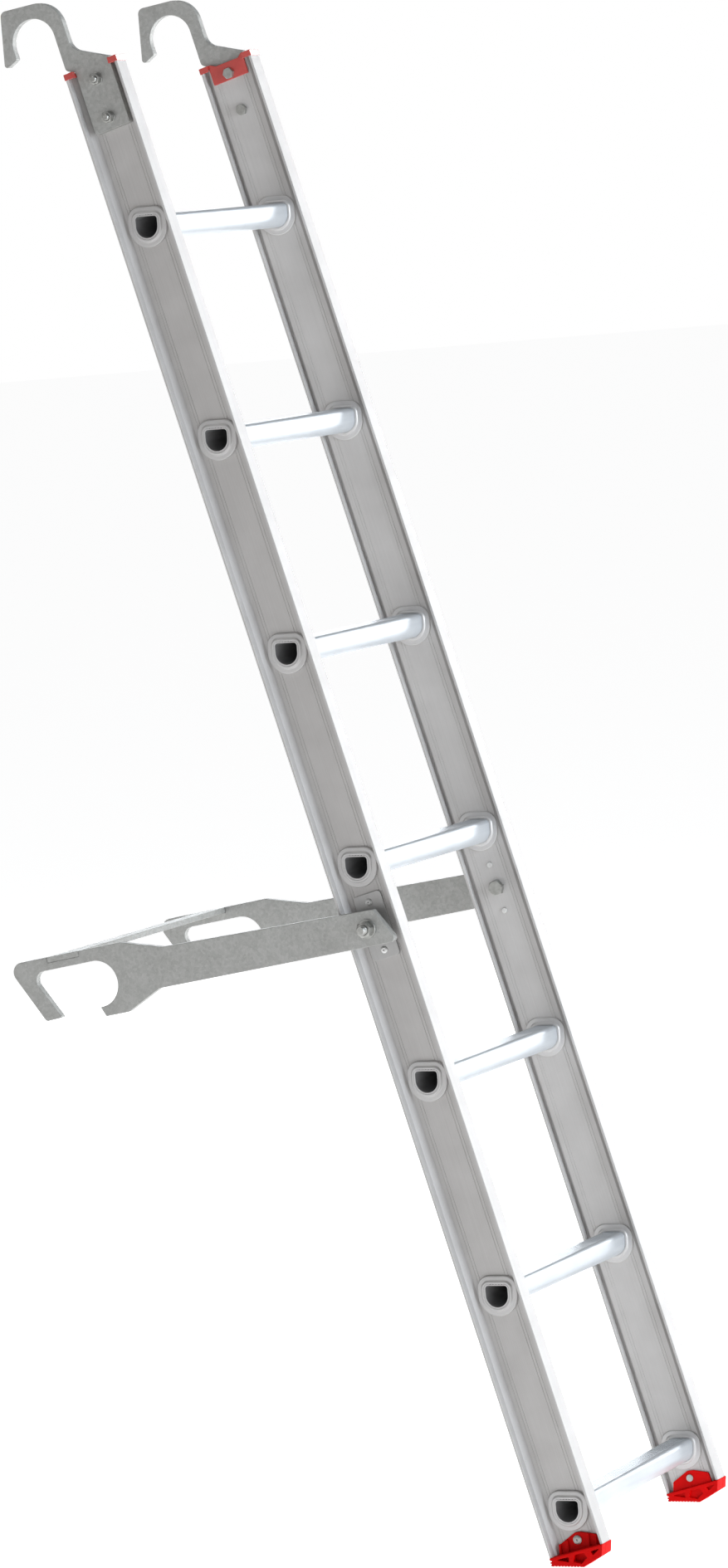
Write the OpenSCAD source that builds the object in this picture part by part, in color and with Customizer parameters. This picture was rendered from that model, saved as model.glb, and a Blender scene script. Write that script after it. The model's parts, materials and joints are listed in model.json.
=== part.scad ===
// Hook-on access ladder: two stiles, seven D-section rungs, two top hooks and a
// pair of folding stand-off arms. The frame's origin is the axis of the top hooks.

/* [Ladder] */
// Outside width over the stile flanges
overall_w = 403; // [300:1:520]
// Distance from one rung to the next
rung_pitch = 280; // [230:1:340]
// Height of the lowest rung above the stile's lower end
first_rung = 49; // [44:1:80]
// Stile left above the highest rung
top_over = 209; // [170:1:280]
// Lean of the stiles from upright, in degrees
lean = 15; // [10:0.5:20]

/* [Stile section] */
// Depth of the stile, front to back
stile_d = 76; // [62:1:95]
// Width of each flange
flange_w = 24.5; // [22:0.5:32]
// Thickness of each flange at its edge
flange_t = 3.4; // [2.5:0.1:5]
// Thickness of the web
web_t = 2.5; // [2:0.1:4]
// How far the flange stands out beyond the web's outer face
web_out = 17; // [14:0.5:22]

/* [Rungs] */
// Front to back width of a rung
rung_w = 34; // [27:0.5:41]
// Height of a rung
rung_h = 31; // [28:0.5:38]
// Wall of the rung tube
rung_wall = 2; // [1.5:0.1:3]
// How far the collar reaches round the rung
collar_over = 10; // [7:0.5:11]
// Thickness of the outer collar's plate
collar_t = 4; // [2:0.5:6]

/* [Top hooks] */
// Width of the top hook's throat
hook_throat = 60; // [50:0.5:72]
// Thickness of the top hook's plate
hook_t = 10; // [6:0.5:12]
// Height of the throat's centre above the stile's upper end
hook_rise = 57.3; // [48:0.5:75]
// Width of the hook's neck
hook_neck = 17; // [14:0.5:24]
// Distance between the two hook bolts
hook_bolt_gap = 50; // [38:1:60]

/* [Stand-off arms] */
// Width of the arm's throat
arm_throat = 59; // [49:0.5:71]
// Distance from the pivot to the centre of the throat's round end
arm_reach = 389; // [320:1:470]
// Thickness of the arm
arm_t = 10; // [6:0.5:12]
// Depth of the arm beside the pivot
arm_h = 45; // [38:0.5:54]
// Angle of the arm above the stile's square, in degrees
arm_angle = 6; // [0:0.5:12]
// Width of the cross bar
bar_w = 46; // [30:1:56]
// Thickness of the cross bar
bar_t = 7; // [5:0.5:9]

/* [Feet] */
// Depth of the foot's thin end below the stile
foot_drop = 10; // [7:0.5:14]
// Width of the foot across the stile
foot_w = 30; // [28:0.5:38]

/* [Hidden] */

$fn = 64;
RUNGS = 7;
PIVOT_RUNG = 4;
// air left between a seated piece and its seat, and between moving faces
seat = 0.05;
swing = 0.3;
// radial clearance of a shank in its own nut, in the arm and in a plain hole
snug = 0.05;
loose = 0.25;

// stile
half_d = stile_d / 2;
web_x = overall_w / 2 - web_out;
inner_x = web_x - web_t;
flange_in = flange_w - web_out - web_t;
bevel_out = 7;
stile_l = first_rung + (RUNGS - 1) * rung_pitch + top_over;
channel = half_d - flange_t - bevel_out;
// the bevel's wall is as thick as the web, which leaves a groove behind it on the inner side
wall_back = web_t * sqrt(2);
groove_w = 0.9;
groove_dp = 0.4;
groove_at = [channel * 0.64, channel * 0.78];

// rungs and collars
rung_r = rung_w / 2;
rung_mid = rung_r - rung_h / 2;
rung_rc = 6;
rim_over = 3.4;
rim_t = 2;
inner_plate_t = 2;
inner_rim_t = 2;
rung_end = web_x + collar_t + rim_t;
tread_grooves = 5;
tread_pitch = 4;
tread_w = 1.2;
tread_dp = 0.5;

// fasteners: [shank radius, across flats, head height, nut height, washer radius, washer height,
// length past the nut]
m8 = [4, 13, 5.3, 6.5, 8, 1.6, 3];
m12 = [6, 18, 7.5, 10, 12, 2.5, 9];
bolt_chamfer = 1;

// top hooks
hook_r = hook_throat / 2;
hook_half = channel - 2.1;
hook_c = [hook_half + 12 + hook_r, hook_rise];
hook_bolt_1 = -14;
hook_bolts_u = [hook_bolt_1, hook_bolt_1 - hook_bolt_gap];
hook_low = hook_bolts_u[1] - 15.5;
shoulder = [3.2, 9.4];

// top caps: a plate inside the web and a block over each flange's end
cap_plate_t = 3;
cap_gap = 0.5;
cap_rise = 5;
cap_lip = 3;
cap_drop = 22.5;
cap_over = 1;

// arms, in a frame along the arm with the pivot at its origin
pivot_u = first_rung + (PIVOT_RUNG - 1) * rung_pitch - rung_h / 2 - collar_over - 51;
plate_w = 2 * channel - 16.8;
plate_h = 84;
plate_t = 3;
rivet_u = 31;
rivet_r = 2.4;
arm_x = overall_w / 2 + 3.3;
arm_r = arm_throat / 2;
bar_gap = 1;
arm_back = half_d + bar_gap + bar_t;
bar_x0 = arm_reach + 17;
spacer_r = 9;

// feet
sole_tan = tan(lean);
sole_end = half_d - 0.5;
sole_peak = -4.8;
sole_far = 5 - half_d;
peak_u = -foot_drop - (sole_end - sole_peak) * sole_tan;
foot_x = web_x + web_out + (foot_w - flange_w) / 2 - foot_w;
foot_plate_t = 3;
foot_rivet_u = 11.7;
foot_rivet_r = 3;
tooth = 4.2;
tooth_dp = 1.2;
teeth = floor((half_d - 4.5 - sole_peak) / tooth);
pocket = 10;
inner_pocket = 3;
// ribs on the outer ear: [place, width]; they stand upright as the ladder leans
ear_ribs = [[channel - 1.2, 2.6], [16.6, 4.6], [-13.5, 4.2], [2.6 - channel, 2]];
ear_rib_t = 2.6;

// a rivet's head and its set end, as multiples of the shank
rivet_head = 1.95;
rivet_set = 1.6;

function unit2(v) = v / norm(v);
// one rounded corner at b, between a and c
function arc2(a, b, c, r, n) = r <= 0 ? [b] :
  let (p = unit2(a - b), q = unit2(c - b), half = acos(p * q) / 2,
       o = b + unit2(p + q) * r / sin(half),
       s = b + p * r / tan(half) - o, e = b + q * r / tan(half) - o,
       a0 = atan2(s[1], s[0]), d = atan2(e[1], e[0]) - a0,
       turn = d > 180 ? d - 360 : (d < -180 ? d + 360 : d))
  [for (i = [0:n]) o + r * [cos(a0 + turn * i / n), sin(a0 + turn * i / n)]];
// a closed outline from [x, y, corner radius] points
function rounded(p, n = 6) = let (k = len(p))
  [for (i = [0:k - 1]) each arc2([p[(i + k - 1) % k][0], p[(i + k - 1) % k][1]],
    [p[i][0], p[i][1]], [p[(i + 1) % k][0], p[(i + 1) % k][1]], p[i][2], n)];
function arc_pts(c, r, a0, a1, n) =
  [for (i = [0:n]) [c[0] + r * cos(a0 + (a1 - a0) * i / n), c[1] + r * sin(a0 + (a1 - a0) * i / n)]];
// D outline of a rung grown by e
function d_pts(e) = let (top = rung_h / 2, c = rung_r - rung_rc)
  concat(arc_pts([c, top - rung_rc], rung_rc + e, 0, 90, 5),
         arc_pts([-c, top - rung_rc], rung_rc + e, 90, 180, 5),
         arc_pts([0, rung_mid], rung_r + e, 180, 360, 18));
function rung_u(i) = first_rung + (i - 1) * rung_pitch;

// ladder frame (x across, y to the back, z up the stile) to the shared frame
module leaned() {
  rotate([-lean, 0, 0]) translate([0, -hook_c[0], -stile_l - hook_c[1]]) children();
}
// copies a right-hand piece to the left
module hand(side) {
  if (side < 0) mirror([1, 0, 0]) children();
  else children();
}
// extrudes an outline drawn in (back, up) from x0 to x1
module across(x0, x1) {
  translate([x0, 0, 0]) rotate([90, 0, 90]) linear_extrude(x1 - x0) children();
}
module rod(x0, x1, r, y, z) {
  translate([x0, y, z]) rotate([0, 90, 0]) cylinder(h = x1 - x0, r = r);
}
// a bolt's shank with a chamfered tip
module shank(x0, x1, r, z) {
  translate([x0, 0, z]) rotate([0, 90, 0]) rotate_extrude()
    polygon([[0, 0], [r, 0], [r, x1 - x0 - bolt_chamfer], [r - bolt_chamfer, x1 - x0], [0, x1 - x0]]);
}
module hexagon(af) {
  r = af / sqrt(3);
  polygon([for (i = [0:5]) r * [cos(60 * i), sin(60 * i)]]);
}
module hex(x0, x1, af, y, z) {
  translate([0, y, z]) across(x0, x1) hexagon(af);
}
module at_rung(i) {
  translate([0, 0, rung_u(i)]) rotate([lean, 0, 0]) children();
}

// what the flanges and their bevels take up on both sides of the web, grown by the seat gap
module flange_room(u0, u1) {
  g = seat * 1.5;
  translate([0, 0, u0]) linear_extrude(u1 - u0) for (s = [0, 1]) mirror([0, s, 0]) {
    polygon([[web_x, channel - g], [web_x + bevel_out, channel + bevel_out - g],
      [web_x + bevel_out, half_d + 1], [web_x, half_d + 1]]);
    polygon([[inner_x, half_d - flange_t - g], [inner_x - flange_in, half_d - flange_t - g],
      [inner_x - flange_in, half_d + 1], [inner_x, half_d + 1]]);
  }
}

// ---------- stiles ----------
module stile_section() {
  half = concat([[web_out, half_d], [web_out, half_d - flange_t], [bevel_out, half_d - flange_t],
    [0, channel]],
    [for (g = [groove_at[1], groove_at[0]]) each [[0, g + groove_w / 2],
      [-groove_dp, g + groove_w / 4], [-groove_dp, g - groove_w / 4], [0, g - groove_w / 2]]]);
  back = concat([for (g = groove_at) each [[-web_t, g - groove_w / 2],
      [groove_dp - web_t, g - groove_w / 4], [groove_dp - web_t, g + groove_w / 4],
      [-web_t, g + groove_w / 2]]],
    [[-web_t, channel + wall_back - web_t], [bevel_out - wall_back, half_d - flange_t],
      [-web_t - flange_in, half_d - flange_t], [-web_t - flange_in, half_d]]);
  function flip(p) = [for (i = [len(p) - 1:-1:0]) [p[i][0], -p[i][1]]];
  polygon(concat(half, flip(half), flip(back), back));
}
module stile_solid() {
  leaned() difference() {
    translate([web_x, 0, 0]) linear_extrude(stile_l) stile_section();
    for (i = [1:RUNGS]) at_rung(i)
      across(inner_x - 1, web_x + 1) polygon(d_pts(seat));
    for (u = hook_bolts_u) rod(inner_x - 1, web_x + 1, m8[0] + loose, 0, stile_l + u);
    rod(inner_x - 1, web_x + 1, m12[0] + loose, 0, pivot_u);
    for (s = [-1, 1]) rod(inner_x - 1, web_x + 1, rivet_r + snug, 0, pivot_u + s * rivet_u);
    rod(inner_x - 1, web_x + 1, foot_rivet_r + snug, 0, foot_rivet_u);
  }
}
module left_stile() { color("#a8a6a3") hand(-1) stile_solid(); }
module right_stile() { color("#a8a6a3") stile_solid(); }

// ---------- rungs ----------
module rung_solid(i) {
  color("#dfe5ea") leaned() at_rung(i) difference() {
    across(-rung_end, rung_end) polygon(d_pts(0));
    across(-rung_end - 1, rung_end + 1) polygon(d_pts(-rung_wall));
    for (k = [1:tread_grooves])
      translate([-rung_end - 1, (k - (tread_grooves + 1) / 2) * tread_pitch - tread_w / 2,
                 rung_h / 2 - tread_dp])
        cube([2 * rung_end + 2, tread_w, tread_dp + 1]);
  }
}
module rung_1() { rung_solid(1); }
module rung_2() { rung_solid(2); }
module rung_3() { rung_solid(3); }
module rung_4() { rung_solid(4); }
module rung_5() { rung_solid(5); }
module rung_6() { rung_solid(6); }
module rung_7() { rung_solid(7); }

// ---------- collars round the rung ends ----------
module collar(x_plate, plate, x_rim, rim) {
  difference() {
    union() {
      across(x_plate, x_plate + plate) polygon(d_pts(collar_over));
      across(x_rim, x_rim + rim) polygon(d_pts(rim_over));
    }
    across(x_plate - rim - 1, x_plate + plate + rim + 1) polygon(d_pts(seat));
  }
}
// the collars' plates are trimmed where they meet the flange bevels
module outer_collars(side) {
  color("#b3b2b0") leaned() hand(side) difference() {
    for (i = [1:RUNGS]) at_rung(i)
      collar(web_x + seat, collar_t - seat, web_x + seat, collar_t + rim_t - seat);
    flange_room(0, stile_l);
  }
}
module inner_collars(side) {
  color("#b3b2b0") leaned() hand(side) difference() {
    for (i = [1:RUNGS]) at_rung(i)
      collar(inner_x - inner_plate_t, inner_plate_t - seat,
             inner_x - inner_plate_t - inner_rim_t, inner_plate_t + inner_rim_t - seat);
    flange_room(0, stile_l);
  }
}
module left_outer_collars() { outer_collars(-1); }
module right_outer_collars() { outer_collars(1); }
module left_inner_collars() { inner_collars(-1); }
module right_inner_collars() { inner_collars(1); }

// ---------- top hooks ----------
module hook_outline() {
  leg = hook_c[0] + hook_r;
  neck = hook_c[0] - hook_r - hook_neck;
  polygon(rounded([
    [-hook_half, hook_low, 3], [hook_half, hook_low, 3], [hook_half, shoulder[0], 1],
    [hook_c[0] - hook_r, shoulder[1], 6], [hook_c[0] - hook_r, hook_c[1] - 20, 0],
    [leg, hook_c[1] - 20, 0], [leg, hook_c[1] - 11.5, 3], [leg + 21.1, hook_c[1] - 19.3, 4],
    [leg + 2.1, hook_c[1] + hook_r + 22, 8], [neck, hook_c[1] + hook_r + 12.2, 36],
    [neck, hook_c[1] - 24.7, 18], [-hook_half, 7.8, 1]]));
}
module hook_solid() {
  leaned() translate([0, 0, stile_l]) difference() {
    across(web_x + seat, web_x + hook_t) hook_outline();
    rod(web_x - 1, web_x + hook_t + 1, hook_r, hook_c[0], hook_c[1]);
    translate([web_x - 1, hook_c[0] - hook_r, hook_c[1] - 60])
      cube([hook_t + 2, 2 * hook_r, 60]);
    for (u = hook_bolts_u) rod(web_x - 1, web_x + hook_t + 1, m8[0] + loose, 0, u);
  }
}
module left_top_hook() { color("#a3a39f") hand(-1) hook_solid(); }
module right_top_hook() { color("#a3a39f") hook_solid(); }

// the upper bolt's head sits on the cap's plate, the lower one's on the web
module hook_bolts() {
  color("#c3c6c8") for (side = [-1, 1]) leaned() hand(side) for (k = [0, 1]) {
    head = inner_x - (k == 0 ? cap_plate_t : 0) - seat;
    z = stile_l + hook_bolts_u[k];
    hex(head - m8[2], head, m8[1], 0, z);
    shank(head - 1, web_x + hook_t + m8[5] + m8[3] + m8[6], m8[0], z);
  }
}
module hook_washers() {
  color("#c9cccd") for (side = [-1, 1]) leaned() hand(side) for (u = hook_bolts_u)
    difference() {
      rod(web_x + hook_t + seat, web_x + hook_t + m8[5], m8[4], 0, stile_l + u);
      rod(web_x + hook_t - 1, web_x + hook_t + m8[5] + 1, m8[0] + loose, 0, stile_l + u);
    }
}
module hook_nuts() {
  x = web_x + hook_t + m8[5];
  color("#c3c6c8") for (side = [-1, 1]) leaned() hand(side) for (u = hook_bolts_u)
    difference() {
      hex(x + seat, x + m8[3], m8[1], 0, stile_l + u);
      rod(x - 1, x + m8[3] + 1, m8[0] + snug, 0, stile_l + u);
    }
}

// ---------- top caps ----------
module cap_solid() {
  edge = channel - 1.5;
  reach = half_d + cap_over;
  leaned() translate([0, 0, stile_l]) difference() {
    union() {
      across(inner_x - cap_plate_t, inner_x - seat)
        polygon(rounded([[-edge, -cap_drop, 2], [edge, -cap_drop, 2], [edge, cap_rise, 1],
          [edge * 0.9, cap_rise, 1], [edge * 0.6, 0.8, 2], [-edge * 0.7, 0.8, 2],
          [-edge * 0.9, cap_rise, 1], [-edge, cap_rise, 1]], 3));
      for (s = [-1, 1]) {
        y0 = s > 0 ? hook_half + cap_gap : -reach;
        y1 = s > 0 ? reach : -hook_half - cap_gap;
        translate([web_x - web_t - flange_in - cap_over, y0, -cap_lip])
          cube([flange_w + 2 * cap_over, y1 - y0, cap_lip + cap_rise]);
      }
    }
    // room for the stile's own end
    translate([web_x, 0, -cap_lip - 1]) linear_extrude(cap_lip + 1 + seat)
      for (s = [0, 1]) mirror([0, s, 0]) polygon([
        [web_out + seat, half_d + seat], [web_out + seat, half_d - flange_t - seat],
        [bevel_out, half_d - flange_t - seat], [seat, channel - seat - 0.05], [seat, 0],
        [-web_t - seat, 0], [-web_t - seat, channel + wall_back - web_t + seat],
        [bevel_out - wall_back - 3 * seat, half_d - flange_t - seat],
        [-web_t - flange_in - seat, half_d - flange_t - seat],
        [-web_t - flange_in - seat, half_d + seat]]);
    rod(inner_x - cap_plate_t - 1, web_x, m8[0] + loose, 0, hook_bolts_u[0]);
    // room for the hook's shoulder, which passes over the back flange
    translate([web_x - cap_gap, 0, shoulder[0] - cap_gap])
      cube([hook_t + 2 * cap_gap, reach + 1, cap_rise + 1]);
  }
}
module left_top_cap() { color("#b8342c") hand(-1) cap_solid(); }
module right_top_cap() { color("#b8342c") cap_solid(); }

// ---------- feet ----------
module ear_outline() {
  polygon(rounded([[channel + 1.9, -1, 0], [channel - 3, 12, 2.5], [1, 21.2, 4], [-7, 20.2, 4],
    [0.6 - channel, 12, 3], [0.2 - channel, -1, 0]], 4));
}
module foot_solid() {
  leaned() difference() {
    union() {
      across(foot_x, foot_x + foot_w) polygon([[sole_end, -seat], [sole_end, -foot_drop],
        [sole_peak, peak_u], [sole_far, peak_u + (sole_peak - sole_far) * sole_tan],
        [-half_d, -1.5], [-half_d, -seat]]);
      for (x = [inner_x - foot_plate_t, web_x + seat])
        across(x, x + foot_plate_t - seat) ear_outline();
      across(web_x + 1, web_x + foot_plate_t + ear_rib_t) intersection() {
        ear_outline();
        for (r = ear_ribs) translate([r[0], 5]) rotate(lean) square([r[1], 60], center = true);
      }
    }
    flange_room(-seat, 30);
    // grips across the flat part of the sole and round its thin end
    translate([0, sole_end, -foot_drop]) rotate([lean, 0, 0]) {
      for (k = [1:teeth]) translate([foot_x - 1, -k * tooth, 0]) across(0, foot_w + 2)
        polygon([[-0.7, tooth_dp], [0.7, tooth_dp], [1.3, -1], [-1.3, -1]]);
      for (z = [2.6, 6]) translate([foot_x - 1, 0, z]) across(0, foot_w + 2)
        polygon([[-0.2 - z * sole_tan, 0], [2, -1.2], [2, 1.2]]);
    }
    // three pockets in each side, deep ones outside and shallow ones inside
    for (x = [foot_x - 1, foot_x + foot_w - pocket])
      across(x, x + 1 + (x < foot_x ? inner_pocket : pocket)) {
        polygon([[half_d - 9, -4], [11.3, -4.2], [13, peak_u * 0.5]]);
        polygon([[2.5, -3.8], [-10.5, -4.2], [-13, -11.2], [-3, peak_u + 4.8], [7.5, -11.6]]);
        polygon([[-19.6, -4.8], [4.8 - half_d, -4.2], [-21.7, -9.8]]);
      }
    rod(inner_x - foot_plate_t - 1, web_x + foot_plate_t + 1, foot_rivet_r + snug, 0,
        foot_rivet_u);
  }
}
module left_foot() { color("#c81414") hand(-1) foot_solid(); }
module right_foot() { color("#c81414") foot_solid(); }
// a rivet through the web: shank, set end inside, head outside
module rivet(x0, x1, r, z) {
  rod(x0 - 1, x1 + 1, r, 0, z);
  rod(x0 - 1.6, x0 - seat, r * rivet_set, 0, z);
  rod(x1 + seat, x1 + 1.6, r * rivet_head, 0, z);
}
module foot_rivets() {
  color("#c9cccd") for (side = [-1, 1]) leaned() hand(side)
    rivet(inner_x - foot_plate_t, web_x + foot_plate_t, foot_rivet_r, foot_rivet_u);
}

// ---------- pivots ----------
module pivot_plate() {
  h = plate_h / 2;
  w = plate_w / 2;
  leaned() translate([0, 0, pivot_u]) difference() {
    across(web_x + seat, web_x + plate_t)
      polygon(rounded([[-w, -h, 5], [w, -h, 5], [w, h, 5], [-w, h, 5]]));
    rod(web_x - 1, web_x + plate_t + 1, m12[0] + loose, 0, 0);
    for (s = [-1, 1]) rod(web_x - 1, web_x + plate_t + 1, rivet_r + snug, 0, s * rivet_u);
  }
}
module left_pivot_plate() { color("#9d9b98") hand(-1) pivot_plate(); }
module right_pivot_plate() { color("#9d9b98") pivot_plate(); }
module pivot_plate_rivets() {
  color("#c9cccd") for (side = [-1, 1]) leaned() hand(side) for (s = [-1, 1])
    rivet(inner_x, web_x + plate_t, rivet_r, pivot_u + s * rivet_u);
}
washer_x = arm_x + arm_t + swing;
module pivot_bolts() {
  color("#c3c6c8") for (side = [-1, 1]) leaned() hand(side) {
    hex(inner_x - seat - m12[2], inner_x - seat, m12[1], 0, pivot_u);
    shank(inner_x - 1, washer_x + m12[5] + m12[3] + m12[6], m12[0], pivot_u);
  }
}
module pivot_spacers() {
  color("#a9abab") for (side = [-1, 1]) leaned() hand(side) difference() {
    rod(web_x + plate_t + seat, arm_x - swing, spacer_r, 0, pivot_u);
    rod(web_x + plate_t - 1, arm_x + 1, m12[0] + snug, 0, pivot_u);
  }
}
module pivot_washers() {
  color("#c9cccd") for (side = [-1, 1]) leaned() hand(side) difference() {
    rod(washer_x, washer_x + m12[5], m12[4], 0, pivot_u);
    rod(washer_x - 1, washer_x + m12[5] + 1, m12[0] + loose, 0, pivot_u);
  }
}
module pivot_nuts() {
  x = washer_x + m12[5];
  color("#c3c6c8") for (side = [-1, 1]) leaned() hand(side) difference() {
    hex(x + seat, x + m12[3], m12[1], 0, pivot_u);
    rod(x - 1, x + m12[3] + 1, m12[0] + snug, 0, pivot_u);
  }
}

// ---------- stand-off arms ----------
module arm_frame() {
  leaned() translate([0, 0, pivot_u]) rotate([arm_angle, 0, 0]) children();
}
module arm_outline() {
  root = arm_h / 2;
  leg = arm_reach + 3.1 * arm_r;
  polygon(rounded([
    [-37.5, 0.3 - root, 6], [-15, -root, 20], [arm_reach - 86, 1.5 - root, 6],
    [arm_reach - 36, -arm_r - 13, 8], [arm_reach - 2.7, -arm_r - 13, 2.5],
    [arm_reach + 2.6, -arm_r, 1.2], [arm_reach, -arm_r, 0], [arm_reach, arm_r, 0],
    [leg + 0.6, arm_r, 12], [leg - 31.9, -arm_r - 3.4, 1.5], [leg - 8, -arm_r - 4.3, 5],
    [leg + 31.2, arm_back, 13], [arm_reach - 44, arm_back, 8], [arm_reach - 102, root + 7, 14],
    [-12.5, root - 0.3, 3]]));
}
module arm_solid() {
  arm_frame() difference() {
    across(arm_x, arm_x + arm_t) arm_outline();
    rod(arm_x - 1, arm_x + arm_t + 1, arm_r, arm_reach, 0);
    rod(arm_x - 1, arm_x + arm_t + 1, m12[0] + snug, 0, 0);
    translate([arm_x - 1, bar_x0 - seat, arm_back - bar_t - seat])
      cube([arm_t + 2, bar_w + 2 * seat, bar_t + 10]);
  }
}
module left_arm() { color("#9c9c97") hand(-1) arm_solid(); }
module right_arm() { color("#9c9c97") arm_solid(); }
module arm_cross_bar() {
  color("#a0a09b") arm_frame() translate([-arm_x - arm_t, bar_x0, arm_back - bar_t])
    cube([2 * (arm_x + arm_t), bar_w, bar_t]);
}

left_stile();
right_stile();
rung_1();
rung_2();
rung_3();
rung_4();
rung_5();
rung_6();
rung_7();
left_outer_collars();
right_outer_collars();
left_inner_collars();
right_inner_collars();
left_top_cap();
right_top_cap();
left_top_hook();
right_top_hook();
hook_bolts();
hook_washers();
hook_nuts();
left_foot();
right_foot();
foot_rivets();
left_pivot_plate();
right_pivot_plate();
pivot_plate_rivets();
pivot_bolts();
pivot_spacers();
pivot_washers();
pivot_nuts();
left_arm();
right_arm();
arm_cross_bar();
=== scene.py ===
import json
import math

import bpy
from mathutils import Euler, Matrix, Vector
from mathutils.geometry import tessellate_polygon


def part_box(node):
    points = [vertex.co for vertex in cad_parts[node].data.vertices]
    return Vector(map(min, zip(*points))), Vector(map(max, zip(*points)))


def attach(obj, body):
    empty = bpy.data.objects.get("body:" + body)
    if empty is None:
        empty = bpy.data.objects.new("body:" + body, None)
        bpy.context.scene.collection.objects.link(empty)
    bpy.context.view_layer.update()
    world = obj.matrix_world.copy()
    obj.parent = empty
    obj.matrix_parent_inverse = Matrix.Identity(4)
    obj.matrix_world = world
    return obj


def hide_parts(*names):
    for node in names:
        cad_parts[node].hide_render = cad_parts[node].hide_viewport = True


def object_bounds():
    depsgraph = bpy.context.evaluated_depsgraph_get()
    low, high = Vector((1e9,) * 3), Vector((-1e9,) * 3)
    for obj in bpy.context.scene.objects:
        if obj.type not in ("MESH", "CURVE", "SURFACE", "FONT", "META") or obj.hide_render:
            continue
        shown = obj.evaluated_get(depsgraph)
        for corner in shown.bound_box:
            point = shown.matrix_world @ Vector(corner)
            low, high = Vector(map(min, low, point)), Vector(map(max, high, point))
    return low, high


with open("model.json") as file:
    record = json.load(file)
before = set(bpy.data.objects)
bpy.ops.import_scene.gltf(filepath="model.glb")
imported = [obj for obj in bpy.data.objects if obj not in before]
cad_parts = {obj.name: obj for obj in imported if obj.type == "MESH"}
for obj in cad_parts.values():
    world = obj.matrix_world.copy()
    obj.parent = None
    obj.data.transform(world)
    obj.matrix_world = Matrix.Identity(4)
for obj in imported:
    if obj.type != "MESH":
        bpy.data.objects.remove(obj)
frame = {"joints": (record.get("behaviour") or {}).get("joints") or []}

CAD_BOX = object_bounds()
MM = 0.001


def middle(node):
    low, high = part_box(node)
    return (low + high) / 2


# ---------- places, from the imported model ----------
RUNGS = 7
TREADS = [middle("rung_%d" % (i + 1)) for i in range(RUNGS)]
ACROSS = Vector((1, 0, 0))
UP = (TREADS[-1] - TREADS[0]).normalized()
BACK = Vector((0, UP.z, -UP.y))
LEAN = math.atan2(UP.y, UP.z)
PITCH = (TREADS[-1] - TREADS[0]).length / (RUNGS - 1) / MM
FIRST_RUNG = 49.0
TOP_OVER = 209.0
STILE_L = FIRST_RUNG + (RUNGS - 1) * PITCH + TOP_OVER


def axes(origin, x, y, z):
    """Matrix from millimetres along three axes to the shared frame."""
    m = Matrix((x, y, z)).transposed().to_4x4() @ Matrix.Scale(MM, 4)
    m.translation = origin
    return m


LADDER = axes(TREADS[0] - UP * FIRST_RUNG * MM, ACROSS, BACK, UP)
TOP = LADDER @ Matrix.Translation((0, 0, STILE_L))
FOLD = frame["joints"][0]
PIVOT = Vector(FOLD["pos_m"])
PIVOT_U = (LADDER.inverted() @ PIVOT).z
ARM_ANGLE = math.radians(6)
ARM = axes(
    PIVOT,
    ACROSS,
    BACK * math.cos(ARM_ANGLE) + UP * math.sin(ARM_ANGLE),
    UP * math.cos(ARM_ANGLE) - BACK * math.sin(ARM_ANGLE),
)


def at_rung(i):
    return axes(TREADS[i], ACROSS, Vector((0, 1, 0)), Vector((0, 0, 1)))


# ---------- sizes, as in the CAD source ----------
HALF_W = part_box("right_stile")[1].x / MM
INNER_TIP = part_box("right_stile")[0].x / MM
HALF_D = 38.0
FLANGE_T = 3.4
BEVEL_OUT = 7.0
WEB_OUT = 17.0
WEB_T = 2.5
WEB_X = HALF_W - WEB_OUT
INNER_X = WEB_X - WEB_T
CHANNEL = HALF_D - FLANGE_T - BEVEL_OUT
WALL_BACK = WEB_T * math.sqrt(2)
GROOVES = (0.64 * CHANNEL, 0.78 * CHANNEL)
GROOVE_W, GROOVE_DP = 0.9, 0.4
SEAT = 0.05

RUNG_R, RUNG_H, RUNG_RC, RUNG_WALL = 17.0, 31.0, 6.0, 2.0
RUNG_MID = RUNG_R - RUNG_H / 2
RUNG_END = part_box("rung_1")[1].x / MM
TREAD_GROOVES, TREAD_PITCH, TREAD_W, TREAD_DP = 5, 4.0, 1.2, 0.5
COLLAR_OVER, RIM_OVER = 10.0, 3.4

HOOK_HALF = CHANNEL - 2.1
HOOK_X = (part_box("right_top_hook")[0].x / MM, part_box("right_top_hook")[1].x / MM)
HOOK_C = (67.5, 57.3)
HOOK_R, HOOK_NECK = 30.0, 17.0
HOOK_BOLTS = (-14.0, -64.0)
HOOK_LOW = -79.5

ARM_X = (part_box("right_arm")[0].x / MM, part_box("right_arm")[1].x / MM)
ARM_REACH, ARM_R, ARM_ROOT, ARM_BACK = 389.0, 29.5, 22.5, 46.0
BAR_X0, BAR_W, BAR_T = 406.0, 46.0, 7.0
PLATE = (38.4, 84.0, 3.0)
RIVET_U = 31.0

FOOT_X = (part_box("right_foot")[0].x / MM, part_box("right_foot")[1].x / MM)
FOOT_DROP = 10.0
SOLE_END = HALF_D - 0.5
SOLE_PEAK, SOLE_FAR = -4.8, 5 - HALF_D
PEAK_U = -FOOT_DROP - (SOLE_END - SOLE_PEAK) * math.tan(LEAN)
EAR_T, EAR_RIB_T = 3.0, 2.6
TOOTH, TOOTH_DP, TEETH = 4.2, 1.2, 9
FOOT_RIVET_U = 11.7

# fasteners: shank radius, across flats, head, nut, washer radius, washer height, past the nut, pitch
M8 = (4.0, 13.0, 5.3, 6.5, 8.0, 1.6, 3.0, 1.25)
M12 = (6.0, 18.0, 7.5, 10.0, 12.0, 2.5, 9.0, 1.75)


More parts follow.
